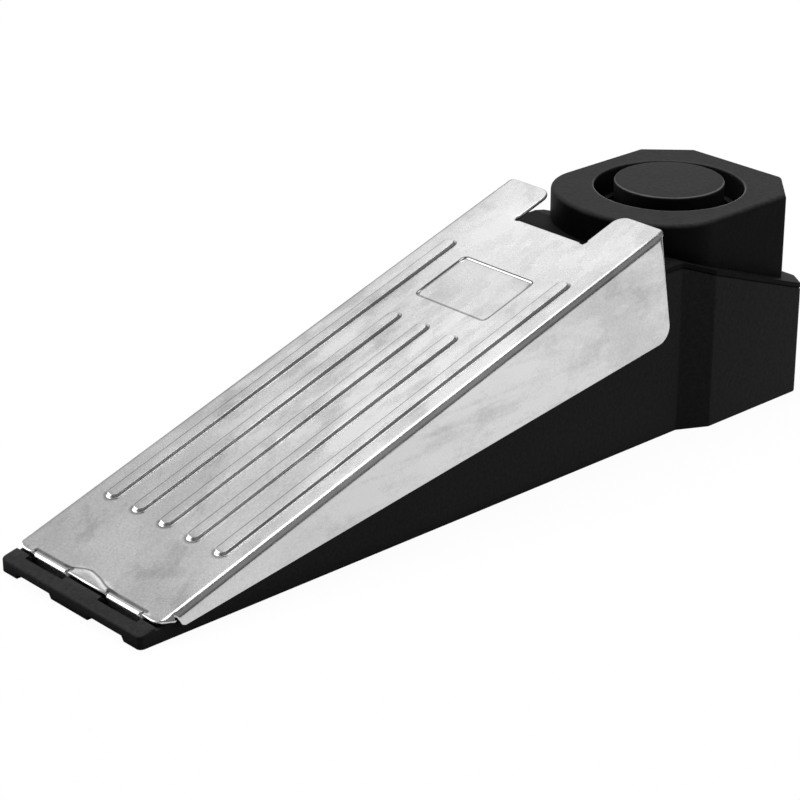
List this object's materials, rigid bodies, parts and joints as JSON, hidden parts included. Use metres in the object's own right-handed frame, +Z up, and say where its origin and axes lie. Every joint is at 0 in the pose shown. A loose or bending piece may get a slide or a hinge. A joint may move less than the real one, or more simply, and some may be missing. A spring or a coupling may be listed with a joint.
{
  "type": "door stop alarm",
  "caption": "Wedge-shaped door stop alarm: black case with siren head, ribbed stainless steel pressure plate that rocks on its tip, battery bay, circuit board and contact inside.",
  "frame": {"origin": "centre of the underside's bounding rectangle, on the floor plane that the case stands on", "axes": "+Z up; +X from the wedge's thin tip towards the siren head; +Y to the left when looking along +X"},
  "size_m": [0.145, 0.0388, 0.0363],
  "materials": {
    "case_plastic": "fine-textured black",
    "housing_plastic": "fine-textured black",
    "cap_plastic": "fine-textured black",
    "plate_steel": "satin, cloudy",
    "door_plastic": "fine-textured black",
    "battery_wrap": "printed sleeve, blank",
    "terminal_metal": "nickel plated",
    "connector_plastic": "soft black",
    "lead_red": "insulated wire",
    "lead_black": "insulated wire",
    "board_laminate": "phenolic board",
    "moulded_black": "moulded epoxy",
    "ferrite": "matt ferrite",
    "capacitor_sleeve": "shrink sleeve",
    "resistor_body": "lacquered",
    "screw_metal": "zinc plated",
    "contact_brass": "spring brass",
    "plunger_plastic": "smooth black",
    "spring_steel": "bright drawn wire",
    "chamber_plastic": "smooth black",
    "piezo_brass": "rolled brass",
    "piezo_ceramic": "silvered ceramic",
    "lead_yellow": "insulated wire",
    "switch_metal": "tinned can",
    "knob_plastic": "smooth black",
    "lead_white": "insulated wire",
    "grip_rubber": "matt black"
  },
  "bodies": {
    "case": {"lower_case": "case_plastic", "upper_housing": "housing_plastic", "siren_cap": "cap_plastic", "battery": "battery_wrap", "battery_terminal_positive": "terminal_metal", "battery_terminal_negative": "terminal_metal", "snap_connector": "connector_plastic", "battery_lead_red": "lead_red", "battery_lead_black": "lead_black", "circuit_board": "board_laminate", "driver_chip": "moulded_black", "boost_coil": "ferrite", "capacitor": "capacitor_sleeve", "transistor": "moulded_black", "resistor_1": "resistor_body", "resistor_2": "resistor_body", "board_screw_1": "screw_metal", "board_screw_2": "screw_metal", "contact_bracket": "contact_brass", "contact_stud": "contact_brass", "return_spring": "spring_steel", "sound_chamber": "chamber_plastic", "piezo_plate": "piezo_brass", "piezo_ceramic": "piezo_ceramic", "piezo_lead_1": "lead_yellow", "piezo_lead_2": "lead_yellow", "power_switch_body": "switch_metal", "switch_lead_1": "lead_white", "switch_lead_2": "lead_white", "case_screw_1": "screw_metal", "case_screw_2": "screw_metal", "case_screw_3": "screw_metal", "case_screw_4": "screw_metal", "grip_strip_1": "grip_rubber", "grip_strip_2": "grip_rubber", "rear_grip_pad": "grip_rubber"},
    "plate": {"pressure_plate": "plate_steel"},
    "trigger": {"trigger_plunger": "plunger_plastic"},
    "leaf": {"contact_leaf": "contact_brass"},
    "door": {"battery_door": "door_plastic"},
    "knob": {"power_switch_knob": "knob_plastic"}
  },
  "joints": [
    {"name": "plate_press", "type": "hinge", "parent": "case", "child": "plate", "pos_m": [-0.06904, 0, 0.0016], "axis": [0, 1, 0], "range_deg": [0, 1.2], "stiffness_Nm_per_rad": 6, "springref_deg": -1.15, "deforming": ["return_spring"]},
    {"name": "trigger_press", "type": "slide", "parent": "case", "child": "trigger", "axis": [0, 0, -1], "range_m": [0, 0.0012]},
    {"name": "contact_bend", "type": "hinge", "parent": "case", "child": "leaf", "pos_m": [-0.0242, 0, 0.0067], "axis": [0, 1, 0], "range_deg": [0, 7]},
    {"name": "battery_door_hinge", "type": "hinge", "parent": "case", "child": "door", "pos_m": [0.0511, 0, 0.0001], "axis": [0, 1, 0], "range_deg": [-60, 0]},
    {"name": "power_switch_slide", "type": "slide", "parent": "case", "child": "knob", "axis": [0, 1, 0], "range_m": [0, 0.003]}
  ],
  "couplings": [
    {"joint": "trigger_press", "follows": "plate_press", "m_per_rad": 0.05484},
    {"joint": "contact_bend", "follows": "plate_press", "ratio": 5.484}
  ]
}
